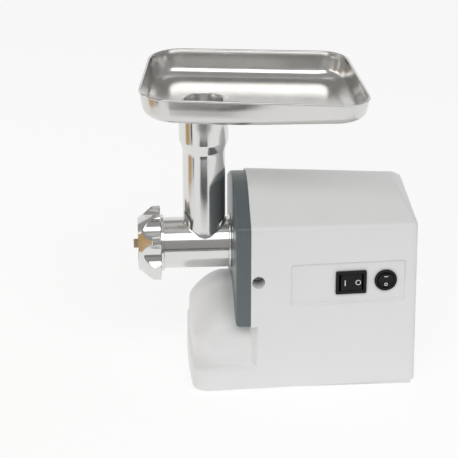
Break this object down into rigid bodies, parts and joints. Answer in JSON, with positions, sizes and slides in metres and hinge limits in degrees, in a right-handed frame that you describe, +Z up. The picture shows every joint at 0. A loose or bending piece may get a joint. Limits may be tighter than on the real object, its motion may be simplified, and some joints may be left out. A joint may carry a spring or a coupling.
{
  "type": "electric meat grinder",
  "caption": "Electric meat grinder with a geared motor in a white housing, a pull-out polished head with auger and knife, a ring nut and a lift-off feed tray.",
  "frame": {"origin": "bottom centre of the whole machine's bounding box, on the surface it stands on", "axes": "+X towards the rear of the housing, -X towards the ring nut, -Y is the side with the switches, +Z up"},
  "size_m": [0.2854, 0.1786, 0.3186],
  "materials": {
    "white_plastic": "satin moulded plastic with a fine grain",
    "grey_plastic": "satin moulded plastic",
    "base_plastic": "matt moulded plastic",
    "rubber": "matt rubber",
    "black_plastic": "satin black plastic",
    "mark_white": "printed white marks",
    "polished_aluminium": "polished casting",
    "cast_aluminium": "as-cast, lightly grained",
    "stainless": "polished stainless sheet",
    "steel": "machined steel",
    "dark_steel": "hardened gear steel",
    "laminations": "stacked steel sheets",
    "copper": "enamelled copper wire and bars",
    "brass": "turned brass",
    "bronze_plastic": "tan bearing plastic",
    "nylon": "natural nylon",
    "carbon": "pressed carbon"
  },
  "bodies": {
    "housing": {"housing": "white_plastic", "collar": "grey_plastic", "base_plate": "base_plastic", "feet": "rubber", "base_screws": "steel", "panel": "white_plastic", "lock_sleeve": "white_plastic", "rocker_frame": "black_plastic", "round_frame": "black_plastic", "head_socket": "cast_aluminium", "gearcase_front": "cast_aluminium", "gearcase_rear": "cast_aluminium", "gearcase_screws": "steel", "output_bush": "brass", "idler_axle": "steel", "motor_stator": "laminations", "field_coils": "copper", "motor_shield": "cast_aluminium", "motor_bolts": "steel", "motor_cradle": "base_plastic", "brush_holders": "brass", "brushes": "carbon", "shaft_bearing": "steel", "cord_inlet": "rubber", "terminal_block": "nylon", "capacitor": "nylon", "earth_screw": "brass"},
    "head": {"head_casting": "polished_aluminium", "barrel_bush": "nylon", "cutting_plate": "steel", "plate_key": "steel"},
    "auger": {"auger": "cast_aluminium", "auger_stud": "bronze_plastic", "knife": "steel", "thrust_washer": "nylon"},
    "ring_nut": {"ring_nut": "polished_aluminium"},
    "tray": {"tray": "stainless", "tray_neck": "stainless"},
    "output": {"output_gear": "dark_steel", "drive_hub": "dark_steel"},
    "idler": {"idler_gear": "nylon", "idler_pinion": "dark_steel"},
    "rotor": {"rotor_core": "laminations", "rotor_shaft": "steel", "motor_pinion": "dark_steel", "commutator": "copper", "cooling_fan": "black_plastic"},
    "rocker": {"rocker_paddle": "black_plastic", "rocker_marks": "mark_white"},
    "round_rocker": {"round_paddle": "black_plastic", "round_marks": "mark_white"}
  },
  "joints": [
    {"name": "head_slide", "type": "slide", "parent": "housing", "child": "head", "axis": [-1, 0, 0], "range_m": [0, 0.06]},
    {"name": "auger_turn", "type": "hinge", "parent": "head", "child": "auger", "pos_m": [-0.08225, 0.00804, 0.1365], "axis": [1, 0, 0], "continuous": true},
    {"name": "ring_nut_turn", "type": "hinge", "parent": "head", "child": "ring_nut", "pos_m": [-0.12225, 0.00804, 0.1365], "axis": [-1, 0, 0], "range_deg": [0, 1080]},
    {"name": "tray_lift", "type": "slide", "parent": "head", "child": "tray", "axis": [0, 0, 1], "range_m": [0, 0.05]},
    {"name": "output_turn", "type": "hinge", "parent": "housing", "child": "output", "pos_m": [0.00275, 0.00804, 0.1365], "axis": [1, 0, 0], "continuous": true},
    {"name": "idler_turn", "type": "hinge", "parent": "housing", "child": "idler", "pos_m": [0.00275, 0.03, 0.08717], "axis": [1, 0, 0], "continuous": true},
    {"name": "rotor_turn", "type": "hinge", "parent": "housing", "child": "rotor", "pos_m": [0.05775, -0.00071, 0.05853], "axis": [1, 0, 0], "continuous": true},
    {"name": "rocker_tip", "type": "hinge", "parent": "housing", "child": "rocker", "pos_m": [0.07385, -0.05593, 0.1184], "axis": [0, 0, 1], "range_deg": [-9, 9]},
    {"name": "round_rocker_tip", "type": "hinge", "parent": "housing", "child": "round_rocker", "pos_m": [0.10905, -0.0549, 0.119], "axis": [0.9983, 0.0576, 0], "range_deg": [-8, 8]}
  ],
  "couplings": [
    {"joint": "auger_turn", "follows": "output_turn", "ratio": 1},
    {"joint": "idler_turn", "follows": "output_turn", "ratio": -5},
    {"joint": "rotor_turn", "follows": "output_turn", "ratio": 30}
  ]
}
